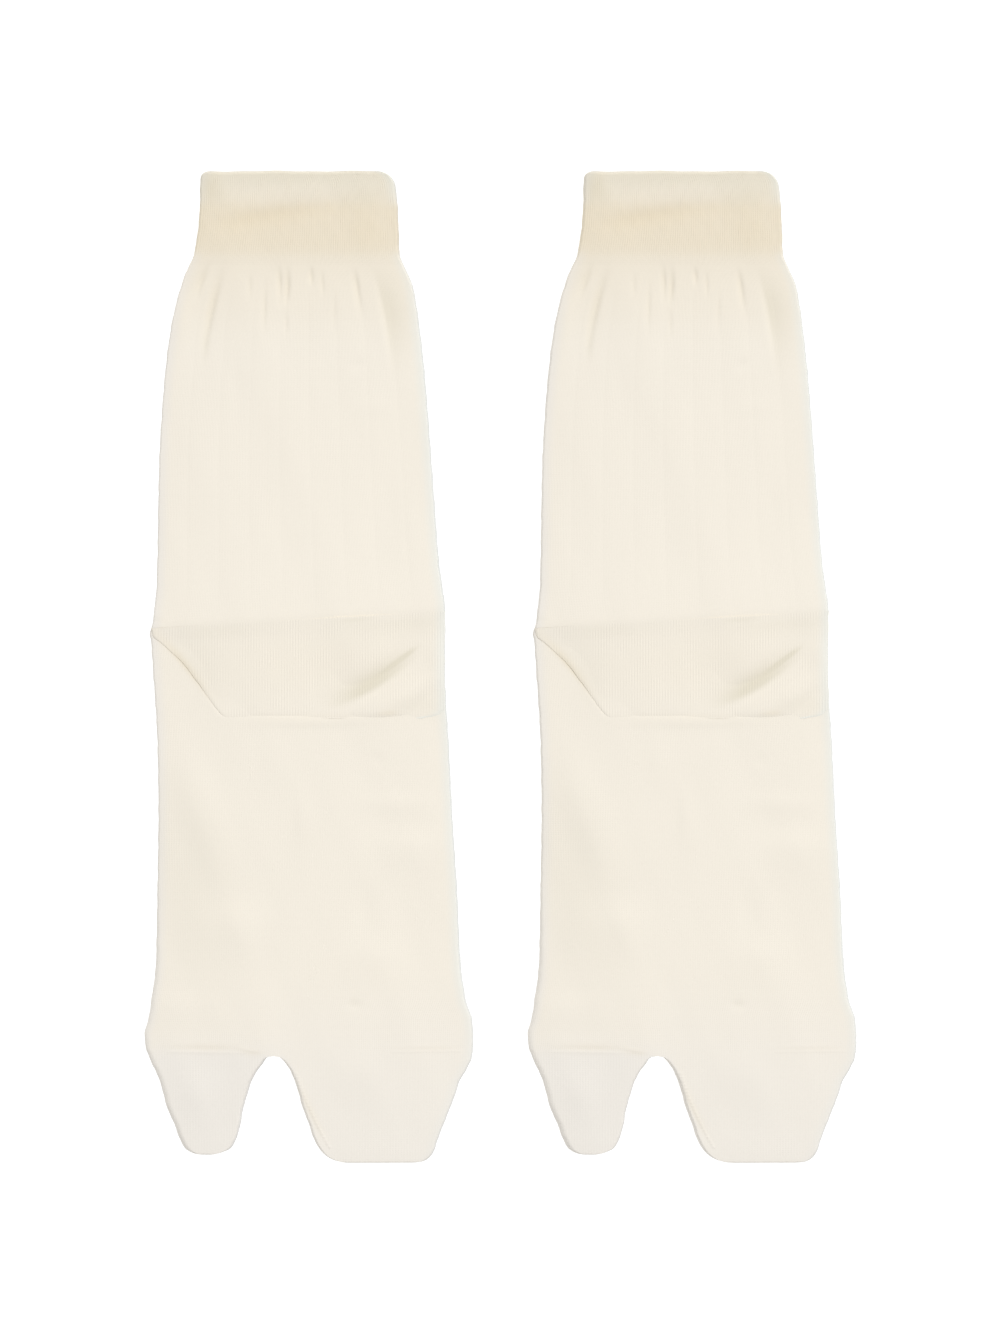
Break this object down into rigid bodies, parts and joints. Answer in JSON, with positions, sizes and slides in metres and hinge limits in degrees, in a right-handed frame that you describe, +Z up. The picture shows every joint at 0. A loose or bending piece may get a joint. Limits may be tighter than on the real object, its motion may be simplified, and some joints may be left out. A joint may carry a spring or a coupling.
{
  "type": "pair of tabi socks",
  "caption": "Pair of split-toe tabi socks in cream rib knit, laid flat side by side with the heel side up, each with a separate pocket for the big toe.",
  "frame": {"origin": "on the floor, under the middle of the pair's bounding box", "axes": "+Z up from the floor that the socks lie on; +Y from the toes to the cuffs; +X across the pair, so that each big toe is towards -X"},
  "size_m": [0.2563, 0.357, 0.0073],
  "materials": {
    "cuff_rib": "matt elastic 1 x 1 rib knit, warm cream",
    "leg_rib": "matt broad rib knit, cream cotton",
    "plain_knit": "matt plain knit, cream cotton"
  },
  "bodies": {
    "root": {"sock_a_cuff": "cuff_rib", "sock_a_leg": "leg_rib", "sock_a_heel": "plain_knit", "sock_a_foot": "plain_knit", "sock_a_big_toe": "plain_knit", "sock_a_toes": "plain_knit", "sock_b_cuff": "cuff_rib", "sock_b_leg": "leg_rib", "sock_b_heel": "plain_knit", "sock_b_foot": "plain_knit", "sock_b_big_toe": "plain_knit", "sock_b_toes": "plain_knit"}
  },
  "joints": []
}
